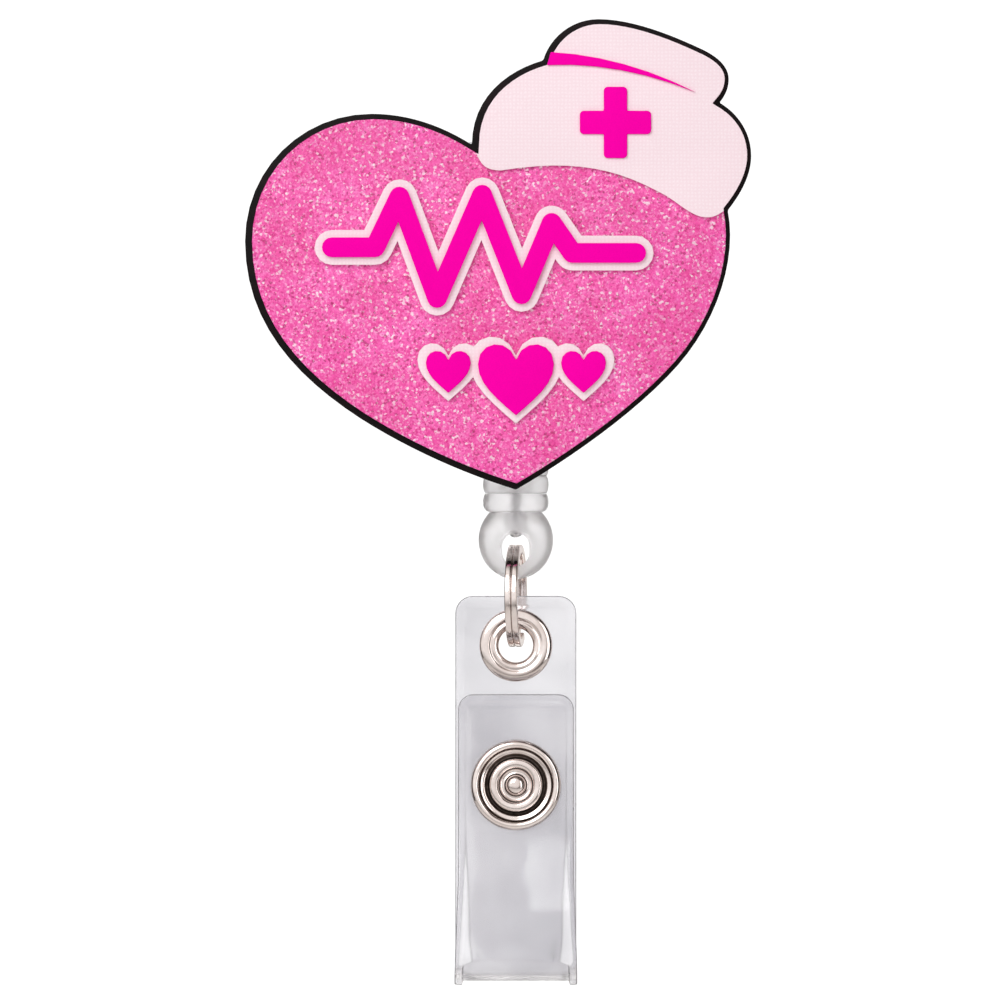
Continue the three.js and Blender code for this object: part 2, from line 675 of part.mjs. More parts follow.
function makeSnap() {
  const place = [smallFacets, 0, snapMiddle];
  const rim = 0.45;
  const bore = snapPostRadius + fitGap;
  const crest = flapFront - snapRise;
  const trough = flapFront - snapFlange / 2;

  // Flap side: a cap with a dome, a raised ring and a rolled rim in front, and the socket behind.
  const [dome, domeFoot] = [snapRadius * 0.16, snapRadius * 0.32];
  const [ringInner, ringOuter] = [snapRadius * 0.4, snapRadius * 0.54];
  const [troughInner, troughOuter] = [snapRadius * 0.64, snapRadius * 0.78];
  add('snap_cap', turned([
    [0, crest],
    [dome, crest + snapFlange / 4],
    [domeFoot, flapFront - snapFlange],
    [ringInner, crest],
    [ringOuter, crest],
    [troughInner, trough],
    [troughOuter, trough],
    [snapRadius - rim, crest],
    [snapRadius - rim / 3, crest + snapFlange / 4],
    [snapRadius, trough],
    [snapRadius, flapFront],
    [snapPostRadius, flapFront],
    [snapPostRadius, flapBack + snapFlange],
    [0, flapBack + snapFlange],
  ], ...place), nickel);
  const socketBack = flapBack + snapSpace / 2 + snapFlange / 2;
  add('snap_socket', turned([
    [bore, flapBack],
    [socketRadius, flapBack],
    [socketRadius, flapBack + snapFlange],
    [studRadius + 1.1, socketBack],
    [studRadius + fitGap, socketBack],
    [studRadius + fitGap, flapBack + snapFlange + slideGap],
    [bore, flapBack + snapFlange + slideGap],
    [bore, flapBack],
  ], ...place), nickel);

  // Strap side: the stud in front, and its post behind.
  const studFront = flapBack + snapFlange + 2 * slideGap;
  add('snap_stud', turned([
    [0, studFront],
    [studRadius * 0.8, studFront],
    [studRadius, studFront + 0.25],
    [studRadius - 0.2, strapFront - snapFlange - 0.1],
    [studRadius, strapFront - snapFlange],
    [socketRadius, strapFront - snapFlange],
    [socketRadius, strapFront],
    [bore, strapFront],
    [bore, studFront + snapFlange],
    [0, studFront + snapFlange],
  ], ...place), nickel);
  add('snap_post', turned([
    [0, strapFront - snapFlange],
    [snapPostRadius, strapFront - snapFlange],
    [snapPostRadius, strapBack],
    [snapRadius, strapBack],
    [snapRadius, strapBack + snapFlange / 2],
    [snapRadius - rim, strapBack + snapFlange],
    [0, strapBack + snapFlange],
  ], ...place), nickel);
}

// ---- Swivel clip --------------------------------------------------------------------

const tipHeight = gripHeight + toothWidth / 2;
const tailHeight = -clipTail;
const earRadius = pinRadius + 1;

// Square teeth: the gaps between them are cut through the bent tip.
function toothGaps(front, back) {
  const pitch = clipWidth / (toothCount * 2 - 1);
  return Array.from({ length: toothCount - 1 }, (_, i) =>
    new THREE.BoxGeometry(pitch, back - front, clipSheet * 4)
      .translate((2 * i + 1 - (toothCount - 1)) * pitch, (front + back) / 2, gripHeight));
}

const crossPin = (radius, halfLength, facets = smallFacets) =>
  new THREE.CylinderGeometry(radius, radius, halfLength * 2, facets)
    .rotateZ(Math.PI / 2).translate(0, pinDepth, pinHeight);

// A side ear: round about the pin, running down to the plate that carries it.
function ear(footPlane, reach, outerFace) {
  const shape = new THREE.Shape();
  const side = Math.sign(footPlane - pinDepth);
  shape.moveTo(footPlane, pinHeight - reach);
  shape.lineTo(footPlane, pinHeight + reach);
  shape.lineTo(pinDepth, pinHeight + earRadius);
  const turns = side < 0 ? [Math.PI / 2, -Math.PI / 2, true] : [Math.PI / 2, Math.PI * 1.5, false];
  shape.absarc(pinDepth, pinHeight, earRadius, ...turns);
  const profile = new THREE.Shape(cornersOf(shape));
  return [
    slab(profile, outerFace - clipSheet, outerFace),
    slab(profile, -outerFace, -outerFace + clipSheet),
  ];
}

function makeClip() {
  const half = clipSheet / 2;
  const side = clipWidth / 2;
  const basePlane = baseJawInner - half;
  const holeRadius = pinRadius + fitGap;
  const baseLine = [
    [basePlane, tailHeight],
    [basePlane, tipHeight - half],
    [-toothGap / 2, tipHeight - half],
  ];
  const base = join(
    slab(strip(baseLine, clipSheet), -side, side),
    ...ear(baseJawInner - half, 3, side),
  );
  add('clip_base_jaw', cut(
    base,
    ...toothGaps(baseJawInner, 0),
    crossPin(holeRadius, clipWidth),
    rod(rivetHole, baseJawOuter - 1, baseJawInner + 1),
  ), nickel);

  const leverSide = side - clipSheet - fitGap;
  const crown = pinDepth + earRadius + half + slideGap;
  const leverLine = [
    [toothGap / 2, tipHeight - half],
    [jawDepth, tipHeight - half],
    [crown, pinHeight + 4],
    [crown + half, pinHeight - 1],
    [leverRise, tailHeight + 3],
    [leverRise, tailHeight],
  ];
  const leverStrip = strip(leverLine, clipSheet);
  const jawPart = slab(leverStrip, -side, side);
  add('clip_lever_jaw', cut(
    join(jawPart, ...ear(crown, 2.4, leverSide)),
    ...toothGaps(0, jawDepth - half),
    crossPin(holeRadius, clipWidth),
  ), nickel);

  const pinHead = 0.4;
  const pinHeads = [-1, 1].map((way) =>
    crossPin(pinRadius + pinHead, pinHead / 2).translate(way * (side + slideGap + pinHead / 2), 0, 0));
  add('clip_pin', join(crossPin(pinRadius, side + slideGap + pinHead), ...pinHeads), nickel);

  add('swivel_washer', tube(rivetHole, washerRadius, washerFront, washerBack), clearPlastic);
  const tailEnd = housingFloor - slideGap;
  add('swivel_rivet', turned([
    [0, tailEnd - rivetHeadThickness],
    [postBore - slideGap, tailEnd - rivetHeadThickness],
    [postBore - slideGap, tailEnd],
    [rivetRadius, tailEnd],
    [rivetRadius, baseJawInner],
    [rivetHeadRadius, baseJawInner],
    [rivetHeadRadius - 0.2, baseJawInner + rivetHeadThickness],
    [0, baseJawInner + rivetHeadThickness],
  ]), nickel);

  makeClipSpring(leverSide - clipSheet - fitGap);
}

function makeClipSpring(space) {
  const coilRadius = pinRadius + fitGap + springWire / 2 + 0.1;
  const halfWidth = Math.min((springTurns * springWire * 1.25) / 2, space - springWire / 2);
  const count = springTurns * 12;
  const turnsAngle = Math.PI * 2 * springTurns;
  const coil = Array.from({ length: count + 1 }, (_, i) => {
    const angle = -Math.PI / 2 - (turnsAngle * i) / count;
    return [
      -halfWidth + (2 * halfWidth * i) / count,
      pinDepth + coilRadius * Math.sin(angle),
      pinHeight + coilRadius * Math.cos(angle),
    ];
  });
  const baseLeg = [-halfWidth, pinDepth - coilRadius, pinHeight - 2.2];
  const leverLeg = [halfWidth, leverRise - clipSheet / 2 - springWire / 2 - slideGap * 2, tailHeight + 3.4];
  const wire = along([baseLeg, ...coil, leverLeg], springWire / 2, count + 14, 6);
  add('clip_spring', wire, springSteel);
}

makeTopper();
makeCapTrim();
makeMotif();
makeHousing();
makeSpool();
makeCord();
makeBead();
makeRing();
makeStrap();
makeEyelet();
makeSnap();
makeClip();

export default badgeReel;
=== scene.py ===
import json
import math

import bmesh
import bpy
from mathutils import Matrix, Vector


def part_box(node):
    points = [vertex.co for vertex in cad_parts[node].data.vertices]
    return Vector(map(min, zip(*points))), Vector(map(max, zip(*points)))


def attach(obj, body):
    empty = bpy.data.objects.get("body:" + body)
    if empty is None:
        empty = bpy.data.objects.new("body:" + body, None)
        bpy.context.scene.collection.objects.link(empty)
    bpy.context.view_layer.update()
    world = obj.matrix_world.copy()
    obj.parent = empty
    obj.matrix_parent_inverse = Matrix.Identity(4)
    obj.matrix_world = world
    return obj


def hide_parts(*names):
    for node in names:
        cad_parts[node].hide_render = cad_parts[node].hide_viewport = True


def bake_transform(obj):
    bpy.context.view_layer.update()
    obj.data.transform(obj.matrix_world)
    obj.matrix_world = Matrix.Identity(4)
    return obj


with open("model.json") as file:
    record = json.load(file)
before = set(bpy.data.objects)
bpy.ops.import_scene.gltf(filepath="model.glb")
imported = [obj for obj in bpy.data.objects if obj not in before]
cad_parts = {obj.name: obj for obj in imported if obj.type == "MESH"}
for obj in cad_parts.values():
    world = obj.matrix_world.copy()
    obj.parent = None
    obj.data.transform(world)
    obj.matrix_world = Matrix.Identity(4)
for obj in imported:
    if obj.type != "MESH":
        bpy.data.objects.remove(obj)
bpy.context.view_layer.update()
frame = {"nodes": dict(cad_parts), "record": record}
print("frame loaded:", len(frame["nodes"]), "nodes")

mm = 0.001
xAxis, yAxis, zAxis = Vector((1, 0, 0)), Vector((0, 1, 0)), Vector((0, 0, 1))
bodyOfNode = {node: body for body, nodes in frame["record"]["behaviour"]["bodies"].items() for node in nodes}


def middle(node):
    low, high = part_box(node)
    return (low + high) / 2


# ---- scene, camera and lights

# mm, seen square from the front
view = {"middle": (-1.7, -34.1), "width": 106.56, "distance": 900, "sensor": 36}
studio = {
    "floorDrop": 0.72,
    "floorSize": 3.2,
    # what the metal reflects, from the pale wall behind the object round to the soft panel in front of it
    "room": [(0.0, "#e6e2df"), (0.24, "#bfbab6"), (0.36, "#3a3431"), (0.5, "#1d1817"), (0.7, "#37302e"),
             (0.8, "#9a938f"), (0.87, "#f4f1ef"), (1.0, "#ffffff")],
    "panelSide": (-0.4, -0.87, 0.28),
    "roomLight": 1.1,
    "wallLight": 1.12,
    "lowShade": "#453e3b",     # what the room fades to below the object
    "lightAim": (0, 0, -0.03),
}


def makeCamera():
    cameraData = bpy.data.cameras.new("camera")
    camera = bpy.data.objects.new("camera", cameraData)
    bpy.context.collection.objects.link(camera)
    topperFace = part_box("glitter_sheet")[0].y
    camera.location = (view["middle"][0] * mm, topperFace - view["distance"] * mm, view["middle"][1] * mm)
    camera.rotation_euler = (math.radians(90), 0, 0)
    cameraData.sensor_width = view["sensor"]
    cameraData.lens = view["sensor"] * view["distance"] / view["width"]
    cameraData.clip_start = 0.01
    bpy.context.scene.camera = camera


def makeLight(name, location, size, watts):
    lightData = bpy.data.lights.new(name, "AREA")
    lightData.energy = watts
    lightData.shape = "RECTANGLE"
    lightData.size, lightData.size_y = size
    light = bpy.data.objects.new(name, lightData)
    light.location = location
    light.visible_camera = False
    light.visible_transmission = False
    aim = Vector(studio["lightAim"]) - Vector(location)
    light.rotation_euler = aim.to_track_quat("-Z", "Y").to_euler()
    bpy.context.collection.objects.link(light)
    return light


def addNode(tree, kind, values=None, links=None, **settings):
    node = tree.nodes.new(kind)
    for key, value in settings.items():
        setattr(node, key, value)
    for key, value in (values or {}).items():
        node.inputs[key].default_value = value
    for key, source in (links or {}).items():
        tree.links.new(source, node.inputs[key])
    return node


def linear(code):
    # an sRGB hex colour as the linear values that nodes take
    parts = [int(code[i:i + 2], 16) / 255 for i in (1, 3, 5)]
    return [c / 12.92 if c <= 0.04045 else ((c + 0.055) / 1.055) ** 2.4 for c in parts] + [1]


def makeStudio():
    # the camera and clear plastic see plain white; reflections see a room of light and dark bands
    world = bpy.data.worlds.new("studio")
    bpy.context.scene.world = world
    world.use_nodes = True
    tree = world.node_tree
    tree.nodes.clear()
    way = addNode(tree, "ShaderNodeTexCoord").outputs["Generated"]
    panel = {1: studio["panelSide"]}
    facing = addNode(tree, "ShaderNodeVectorMath", panel, {0: way}, operation="DOT_PRODUCT")
    room = ramp(tree, mapped(tree, facing.outputs["Value"], 0.0, 1.0, -1.0, 1.0), studio["room"])
    upward = addNode(tree, "ShaderNodeSeparateXYZ", links={0: way}).outputs[2]
    height = mapped(tree, upward, 0.0, 1.0, -1.0, 1.0)
    low = ramp(tree, height, [(0.27, studio["lowShade"]), (0.45, "#ffffff")])
    lit = addNode(tree, "ShaderNodeBackground", {1: studio["roomLight"]}, {0: multiplied(tree, room, low)})
    plain = addNode(tree, "ShaderNodeBackground", {0: (1, 1, 1, 1), 1: studio["wallLight"]})
    path = addNode(tree, "ShaderNodeLightPath").outputs
    straight = {0: path["Is Camera Ray"], 1: path["Is Transmission Ray"]}
    seen = addNode(tree, "ShaderNodeMath", links=straight, operation="MAXIMUM").outputs[0]
    mix = addNode(tree, "ShaderNodeMixShader", links={0: seen, 1: lit.outputs[0], 2: plain.outputs[0]})
    addNode(tree, "ShaderNodeOutputWorld", links={0: mix.outputs[0]})
    makeLight("keyLight", (-0.55, -1.25, 0.7), (0.9, 0.9), 9)
    makeLight("fillLight", (0.9, -1.1, 0.1), (0.5, 1.2), 4)
    makeLight("topLight", (0.0, 0.25, 1.1), (0.9, 0.6), 6)
    makeLight("backLight", (0.0, 1.2, 0.0), (1.2, 1.2), 16).visible_glossy = False
    scene = bpy.context.scene
    scene.view_settings.view_transform = "Standard"
    scene.view_settings.look = "None"

    bm = bmesh.new()
    bmesh.ops.create_grid(bm, x_segments=1, y_segments=1, size=studio["floorSize"] / 2)
    bmesh.ops.translate(bm, verts=bm.verts, vec=(0, 0, -studio["floorDrop"]))
    floor = finishMesh("floor", bm, paleFloor())


# ---- mesh helpers

def finishMesh(name, bm, material, sharpAngle=35):
    bmesh.ops.recalc_face_normals(bm, faces=bm.faces)
    mesh = bpy.data.meshes.new(name)
    bm.to_mesh(mesh)
    bm.free()
    mesh.shade_smooth()
    mesh.set_sharp_from_angle(angle=math.radians(sharpAngle))
    mesh.materials.append(material)
    piece = bpy.data.objects.new(name, mesh)
    bpy.context.collection.objects.link(piece)
    return piece


def standFor(piece, *nodes):
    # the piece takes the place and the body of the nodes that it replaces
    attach(piece, bodyOfNode[nodes[0]])
    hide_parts(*nodes)


def refined(node, material, bevel=0.1, segments=3, sharpAngle=30):
    # a merged copy of a flat or bent CAD node, with its hard edges rounded
    bm = bmesh.new()
    bm.from_mesh(frame["nodes"][node].data)
    bmesh.ops.remove_doubles(bm, verts=bm.verts, dist=0.0005 * mm)
    bmesh.ops.dissolve_limit(bm, angle_limit=math.radians(0.5), verts=bm.verts, edges=bm.edges)
    hard = [e for e in bm.edges if e.is_manifold and e.calc_face_angle() > math.radians(sharpAngle)]
    bmesh.ops.bevel(bm, geom=hard, offset=bevel * mm, offset_type="OFFSET", affect="EDGES",
                    segments=segments, profile=0.5, material=-1, clamp_overlap=True)
    standFor(finishMesh(node + "_fine", bm, material), node)


def spun(profile, centre, axis=yAxis, steps=96, closed=False):
    # a turned piece; profile is [radius, height] in mm, height along the axis from the centre
    bm = bmesh.new()
    side = xAxis if abs(axis.x) < 0.5 else zAxis
    verts = [bm.verts.new(side * (r * mm) + axis * (h * mm)) for r, h in profile]
    pairs = list(zip(verts, verts[1:])) + ([(verts[-1], verts[0])] if closed else [])
    edges = [bm.edges.new(pair) for pair in pairs]
    bmesh.ops.spin(bm, geom=verts + edges, cent=(0, 0, 0), axis=axis, angle=2 * math.pi, steps=steps,
                   use_merge=True, use_duplicate=False)
    bmesh.ops.remove_doubles(bm, verts=bm.verts, dist=0.001 * mm)
    bmesh.ops.translate(bm, verts=bm.verts, vec=centre)
    return bm


def turned(bm, angle, axis):
    # angle in degrees about an axis through the origin
    bmesh.ops.rotate(bm, verts=bm.verts, cent=(0, 0, 0), matrix=Matrix.Rotation(math.radians(angle), 3, axis))


def softened(profile, radius, count=3, closed=False):
    # rounds each corner of a profile by an arc of count steps, which never reaches the middle of a side
    mostOfSide = 0.45
    points = [Vector(p) for p in profile]
    total = len(points)
    out = []
    for i, point in enumerate(points):
        if not closed and i in (0, total - 1):
            out.append(tuple(point))
            continue
        before, after = points[i - 1], points[(i + 1) % total]
        reach = min(radius, (before - point).length * mostOfSide, (after - point).length * mostOfSide)
        start = point + (before - point).normalized() * reach
        end = point + (after - point).normalized() * reach
        for k in range(count + 1):
            t = k / count
            out.append(tuple(start * (1 - t) ** 2 + point * 2 * t * (1 - t) + end * t ** 2))
    return out


# ---- materials

def newMaterial(name):
    material = bpy.data.materials.new(name)
    material.use_nodes = True
    tree = material.node_tree
    tree.nodes.clear()
    shader = addNode(tree, "ShaderNodeBsdfPrincipled")
    addNode(tree, "ShaderNodeOutputMaterial", links={0: shader.outputs[0]})
    place = addNode(tree, "ShaderNodeTexCoord").outputs["Object"]
    return material, tree, shader, place


def ramp(tree, factor, stops, interpolation="LINEAR"):
    node = addNode(tree, "ShaderNodeValToRGB", links={0: factor})
    node.color_ramp.interpolation = interpolation
    elements = node.color_ramp.elements
    while len(elements) < len(stops):
        elements.new(0.5)
    for element, (position, code) in zip(elements, stops):
        element.position = position
        element.color = linear(code)
    return node.outputs[0]


def noise(tree, place, size, detail=3.0, roughness=0.5):
    # size is the pattern's grain in mm
    values = {"Scale": 1 / (size * mm), "Detail": detail, "Roughness": roughness}
    return addNode(tree, "ShaderNodeTexNoise", values, {"Vector": place}).outputs[0]


def grains(tree, place, size):
    # cells about size mm across
    return addNode(tree, "ShaderNodeTexVoronoi", {"Scale": 1 / (size * mm)}, {"Vector": place})


def threads(tree, place, size, direction, values):
    # parallel threads size mm apart; at scale 1 the texture repeats about every 1 / pi
    values = {"Scale": 1 / (size * mm) / math.pi, **values}
    wave = addNode(tree, "ShaderNodeTexWave", values, {"Vector": place}, bands_direction=direction)
    return wave.outputs["Fac"]


def mapped(tree, value, low, high, fromLow=0.0, fromHigh=1.0):
    values = {1: fromLow, 2: fromHigh, 3: low, 4: high}
    return addNode(tree, "ShaderNodeMapRange", values, {0: value}).outputs[0]


def multiplied(tree, first, second):
    links = {6: first, 7: second}
    return addNode(tree, "ShaderNodeMix", {0: 1.0}, links, data_type="RGBA", blend_type="MULTIPLY").outputs[2]


def painted(tree, shader, factor, stops):
    tree.links.new(ramp(tree, factor, stops), shader.inputs["Base Color"])


def roughened(tree, shader, value, *limits):
    tree.links.new(mapped(tree, value, *limits), shader.inputs["Roughness"])


def dimpled(tree, shader, height, depth, strength):
    # depth in mm
    values = {"Strength": strength, "Distance": depth * mm}
    bump = addNode(tree, "ShaderNodeBump", values, {"Height": height})
    tree.links.new(bump.outputs[0], shader.inputs["Normal"])


def paleFloor():
    # painted studio board: matt, with a faint roller texture
    material, tree, shader, place = newMaterial("paintedBoard")
    painted(tree, shader, noise(tree, place, 40), [(0.3, "#f2f1ef"), (0.7, "#f8f7f5")])
    shader.inputs["Roughness"].default_value = 0.8
    return material


def glitterSheet():
    # polyester glitter in clear film: flat flakes about 0.2 mm across, each with its own tint and tilt,
    # with a few painted white as glints, a painted highlight, and a few that show dark red
    material, tree, shader, place = newMaterial("polyesterGlitterFilm")
    flakes = grains(tree, place, 0.24).outputs["Color"]
    fines = grains(tree, place, 0.15).outputs["Color"]
    split = addNode(tree, "ShaderNodeSeparateColor", links={0: flakes})
    fineSplit = addNode(tree, "ShaderNodeSeparateColor", links={0: fines})
    # the white and near-white top steps of both ramps are painted glints
    big = ramp(tree, split.outputs[0], [
        (0.0, "#a3285f"), (0.05, "#dd3d93"), (0.2, "#ee57ab"), (0.5, "#f565b8"),
        (0.72, "#f987cb"), (0.9, "#fdb6e0"), (0.945, "#ffffff")], "CONSTANT")
    small = ramp(tree, fineSplit.outputs[1], [
        (0.0, "#b02a66"), (0.08, "#e2479b"), (0.4, "#f05cb2"),
        (0.75, "#fb93d0"), (0.95, "#fff2fa")], "CONSTANT")
    colour = addNode(tree, "ShaderNodeMix", {0: 0.38}, {6: big, 7: small}, data_type="RGBA")
    cloud = ramp(tree, noise(tree, place, 7, 2.0), [(0.38, "#f6dfe8"), (0.66, "#ffffff")])
    tree.links.new(multiplied(tree, colour.outputs[2], cloud), shader.inputs["Base Color"])
    tilt = addNode(tree, "ShaderNodeVectorMath", {1: (-0.5, -0.5, -0.5)}, {0: flakes}, operation="ADD")
    lean = addNode(tree, "ShaderNodeVectorMath", {"Scale": 0.4}, {0: tilt.outputs[0]}, operation="SCALE")
    facing = {0: addNode(tree, "ShaderNodeNewGeometry").outputs["Normal"], 1: lean.outputs[0]}
    tipped = addNode(tree, "ShaderNodeVectorMath", links=facing, operation="ADD")
    unit = addNode(tree, "ShaderNodeVectorMath", links={0: tipped.outputs[0]}, operation="NORMALIZE")
    tree.links.new(unit.outputs[0], shader.inputs["Normal"])
    roughened(tree, shader, split.outputs[2], 0.3, 0.6)
    shader.inputs["Specular IOR Level"].default_value = 0.3
    return material


def blackAcrylic():
    # laser-cut acrylic: deep black, polished by the beam, a breath of maroon where the cut edge is fogged
    material, tree, shader, place = newMaterial("laserCutAcrylic")
    painted(tree, shader, noise(tree, place, 1.2), [(0.35, "#020101"), (0.8, "#190a0e")])
    roughened(tree, shader, noise(tree, place, 0.3), 0.42, 0.6)
    shader.inputs["Specular IOR Level"].default_value = 0.12
    return material


def printedVinyl(name, dark, light, weave=0.0):
    # self-adhesive vinyl with matt ink: even colour over a fine press grain, or a canvas weave
    # of 0.4 mm threads
    material, tree, shader, place = newMaterial(name)
    uneven = {"Distortion": 2.5, "Detail": 2.0, "Detail Scale": 2.0}
    warp, weft = [threads(tree, place, 0.4, direction, uneven) for direction in ("X", "Z")]
    cloth = addNode(tree, "ShaderNodeMath", links={0: warp, 1: weft}, operation="MULTIPLY")
    grain = noise(tree, place, 0.15, 2.0)
    mix = addNode(tree, "ShaderNodeMix", {0: weave}, {2: grain, 3: cloth.outputs[0]})
    painted(tree, shader, mix.outputs[0], [(0.2, dark), (0.8, light)])
    dimpled(tree, shader, mix.outputs[0], 0.012, 0.35)
    roughened(tree, shader, grain, 0.53, 0.67)
    shader.inputs["Specular IOR Level"].default_value = 0.02
    return material


def nickelPlate():
    # bright nickel on stamped steel: warm grey mirror with faint forming ripples and handling haze
    material, tree, shader, place = newMaterial("nickelPlatedSteel")
    painted(tree, shader, noise(tree, place, 1.6, 4.0), [(0.3, "#ddd0cb"), (0.7, "#eee4e0")])
    shader.inputs["Metallic"].default_value = 1.0
    haze = noise(tree, place, 0.5, 5.0, 0.65)
    roughened(tree, shader, haze, 0.08, 0.2, 0.3, 0.75)
    dimpled(tree, shader, noise(tree, place, 0.35), 0.012, 0.3)
    return material


def grooveShadeNickel():
    # the same plating, painted dark brown-grey and matt as the shade that falls down in a narrow groove
    material, tree, shader, place = newMaterial("nickelPaintedGrooveShade")
    painted(tree, shader, noise(tree, place, 0.4), [(0.3, "#2a2320"), (0.7, "#4d433e")])
    shader.inputs["Metallic"].default_value = 1.0
    roughened(tree, shader, noise(tree, place, 0.2), 0.35, 0.55)
    return material


def springSteel():
    # tempered spring steel: blue-grey, drawn along its length
    material, tree, shader, place = newMaterial("temperedSpringSteel")
    painted(tree, shader, noise(tree, place, 0.8), [(0.3, "#6d7076"), (0.7, "#9a9da3")])
    shader.inputs["Metallic"].default_value = 1.0
    roughened(tree, shader, noise(tree, place, 0.2), 0.25, 0.42)
    return material


def naturalPolypropylene():
    # unpigmented polypropylene, moulded: milky, light glows through it, faint flow marks
    material, tree, shader, place = newMaterial("naturalPolypropylene")
    painted(tree, shader, noise(tree, place, 3.0), [(0.3, "#fbf8fa"), (0.7, "#fffdfe")])
    roughened(tree, shader, noise(tree, place, 0.4), 0.32, 0.46)
    dimpled(tree, shader, noise(tree, place, 0.8, 2.0), 0.02, 0.25)
    shader.inputs["IOR"].default_value = 1.49
    shader.inputs["Transmission Weight"].default_value = 0.8
    shader.inputs["Subsurface Weight"].default_value = 1.0
    shader.inputs["Subsurface Radius"].default_value = (1, 0.96, 0.97)
    shader.inputs["Subsurface Scale"].default_value = 2.5 * mm
    return material


def paleAbs():
    # ABS, moulded with a fine spark finish
    material, tree, shader, place = newMaterial("mouldedAbs")
    grain = noise(tree, place, 0.12, 2.0)
    painted(tree, shader, noise(tree, place, 4.0), [(0.3, "#c9cacd"), (0.7, "#d6d7d9")])
    roughened(tree, shader, grain, 0.36, 0.5)
    dimpled(tree, shader, grain, 0.015, 0.4)
    return material


def foamTape():
    # closed-cell polyethylene foam: matt white with cells about 0.3 mm across
    material, tree, shader, place = newMaterial("closedCellFoam")
    depth = grains(tree, place, 0.3).outputs[0]
    painted(tree, shader, depth, [(0.0, "#f4f4f2"), (0.8, "#dcdcd8")])
    dimpled(tree, shader, depth, 0.08, 0.6)
    shader.inputs["Roughness"].default_value = 0.85
    return material


def braidedNylon():
    # braided nylon: pale grey, strands crossing every 0.5 mm, painted darker as shade where they dip
    material, tree, shader, place = newMaterial("braidedNylon")
    waves = []
    for turn in (0.6, -0.6):
        lean = addNode(tree, "ShaderNodeMapping", {"Rotation": (0, turn, 0)}, {"Vector": place})
        waves.append(threads(tree, lean.outputs[0], 0.5, "Z", {"Distortion": 0.5}))
    strands = addNode(tree, "ShaderNodeMath", links={0: waves[0], 1: waves[1]}, operation="MAXIMUM")
    # the dips between strands are painted darker as shade
    painted(tree, shader, strands.outputs[0], [(0.2, "#a9a9ab"), (0.9, "#e4e4e4")])
    dimpled(tree, shader, strands.outputs[0], 0.06, 0.7)
    shader.inputs["Roughness"].default_value = 0.6
    return material


def clearPvc():
    # plasticised PVC sheet: clear, slightly grey, with soft ripples from rolling and faint handling haze
    material, tree, shader, place = newMaterial("clearPlasticisedPvc")
    painted(tree, shader, noise(tree, place, 10, 2.0), [(0.35, "#dedde1"), (0.65, "#efeef1")])
    shader.inputs["Transmission Weight"].default_value = 0.86
    shader.inputs["IOR"].default_value = 1.53
    dimpled(tree, shader, noise(tree, place, 6, 1.0), 0.6, 0.4)
    roughened(tree, shader, noise(tree, place, 1.5, 4.0), 0.1, 0.22)
    return material


def cutPvc():
    # the same sheet at its die-cut edge, where light that runs inside it is lost: a thin grey line
    material, tree, shader, place = newMaterial("dieCutPvcEdge")
    painted(tree, shader, noise(tree, place, 1.0), [(0.3, "#87868a"), (0.7, "#adacb0")])
    shader.inputs["Transmission Weight"].default_value = 0.45
    shader.inputs["IOR"].default_value = 1.53
    roughened(tree, shader, noise(tree, place, 0.4), 0.2, 0.4)
    return material


makeCamera()
makeStudio()
print("studio made")

magenta = printedVinyl("magentaPrintedVinyl", "#eb00a0", "#f500a6")
palePink = printedVinyl("palePrintedCanvas", "#eed8df", "#f4e4ea", 0.45)
glitter = glitterSheet()
acrylic = blackAcrylic()
nickel = nickelPlate()
# nickel painted dark as the shade in the snap's grooves
nickelGrooveShade = grooveShadeNickel()
steel = springSteel()
polypropylene = naturalPolypropylene()
mouldedAbs = paleAbs()
foam = foamTape()
nylon = braidedNylon()
pvc = clearPvc()
pvcEdge = cutPvc()
print("materials made")


# ---- topper: five stacked layers, each with a fine rounded edge

topper = {"cutEdge": 0.18, "printEdge": 0.1, "foamEdge": 0.15}


def makeTopper():
    refined("topper_backer", acrylic, topper["cutEdge"])
    refined("glitter_sheet", glitter, topper["printEdge"])
    for node in ("cap_panel", "motif_pulse_outline", "motif_hearts_outline"):
        refined(node, palePink, topper["printEdge"])
    for node in ("cap_band", "cap_cross", "motif_pulse"):
        refined(node, magenta, topper["printEdge"])
    for side in ("left", "middle", "right"):
        refined("motif_heart_" + side, magenta, topper["printEdge"])
    refined("mounting_pad", foam, topper["foamEdge"])


# ---- reel housing, turned in two halves with a parting line

housing = {
    "lidDepth": 1.2,
    "lidEdge": 0.9,
    "lip": 0.5,              # width of the sloping band at the parting line
    "seam": 0.05,
    "backSeam": 0.06,
    "backShoulder": 0.26,
    "backEdge": 0.5,
    "backRound": 0.4,
    "groove": (12.6, 13.2, 0.3),
    "rivetHole": 1.1,
    "rivetSeat": 0.8,
    "waist": 3.22,
    "lobe": 3.52,
    "throat": 2.7,
    "lowRib": 1.9,
    "highRib": 1.7,
    "cordHole": 1.2,
    "cordHoleDepth": 3,
    "neckRoot": 1.5,         # how far the neck reaches into the disc
    "neckSteps": 64,
    "ribSteps": 8,
}


def lobed(bottom, top, peak, low, high):
    # a rounded collar: a quarter arc from its lower neck to the peak, and one from the peak to its upper neck
    centre, half = (bottom + top) / 2, (top - bottom) / 2
    arc = [math.pi / 2 * i / housing["ribSteps"] for i in range(housing["ribSteps"] + 1)]
    rising = [(low + (peak - low) * math.sin(a), centre - half * math.cos(a)) for a in arc]
    falling = [(high + (peak - high) * math.cos(a), centre + half * math.sin(a)) for a in arc]
    return rising + falling[1:]


